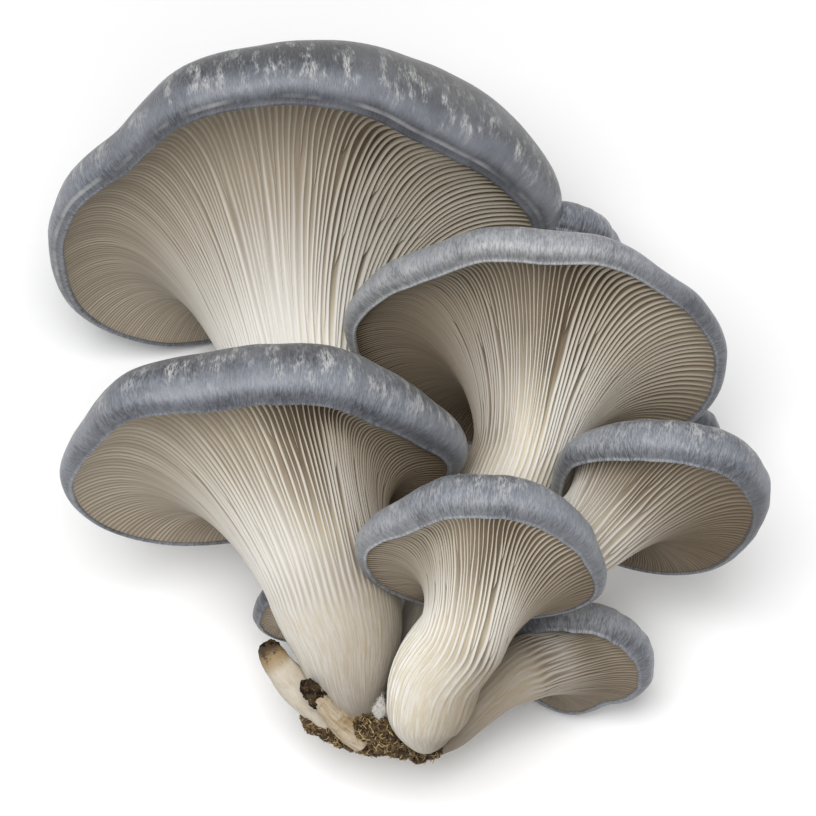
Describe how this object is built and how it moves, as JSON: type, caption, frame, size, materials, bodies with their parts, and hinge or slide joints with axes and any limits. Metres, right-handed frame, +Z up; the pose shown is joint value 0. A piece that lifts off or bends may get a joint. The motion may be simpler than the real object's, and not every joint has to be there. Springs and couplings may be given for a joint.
{
  "type": "oyster mushroom cluster",
  "caption": "Cluster of grey oyster mushrooms picked whole: trumpet-shaped caps with rolled margins and gills running down pale stems that share one torn foot with straw on it.",
  "frame": {"origin": "middle of the underside of the whole cluster, on the surface it lies on", "axes": "+Z up from the surface, +X to the right and +Y away from a viewer who looks down at the gills, from the foot towards the largest cap"},
  "size_m": [0.1611, 0.1533, 0.0974],
  "materials": {
    "cap": "matt slate-grey mushroom skin with fine radial fibrils and pale frosting, cream gills with tan grooves underneath",
    "stem": "off-white fibrous mushroom flesh with low ridges that run on from the gills",
    "stub": "cream stunted stem with a dark dried tip",
    "straw": "dark sawdust and soil crumbs with golden straw fibres"
  },
  "bodies": {
    "root": {"cap_top": "cap", "stem_top": "stem", "cap_upper_right": "cap", "stem_upper_right": "stem", "cap_left": "cap", "stem_left": "stem", "cap_right": "cap", "stem_right": "stem", "cap_front": "cap", "stem_front": "stem", "cap_lower_right": "cap", "stem_lower_right": "stem", "cap_lower_left": "cap", "stem_lower_left": "stem", "cap_back": "cap", "stem_back": "stem", "cap_back_right": "cap", "stem_back_right": "stem", "stub_left": "stub", "stub_front": "stub", "foot": "stem", "straw": "straw"}
  },
  "joints": []
}
